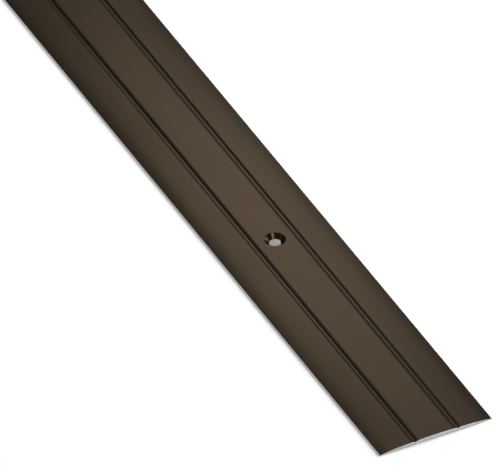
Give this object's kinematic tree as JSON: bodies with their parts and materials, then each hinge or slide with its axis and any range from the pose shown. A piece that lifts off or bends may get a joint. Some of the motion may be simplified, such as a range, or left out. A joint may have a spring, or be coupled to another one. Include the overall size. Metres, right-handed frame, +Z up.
{
  "type": "floor cover strip",
  "caption": "Bronze anodised aluminium cover strip with a low crown, grooves along its length and countersunk screw holes, screwed down over a flooring joint in a doorway.",
  "frame": {"origin": "the middle of the underside, on the floor", "axes": "+X along the strip, +Y across it, +Z up from the floor"},
  "size_m": [1, 0.045, 0.0016],
  "materials": {
    "bronze_anodised": "satin"
  },
  "bodies": {
    "root": {"cover_strip": "bronze_anodised"}
  },
  "joints": []
}
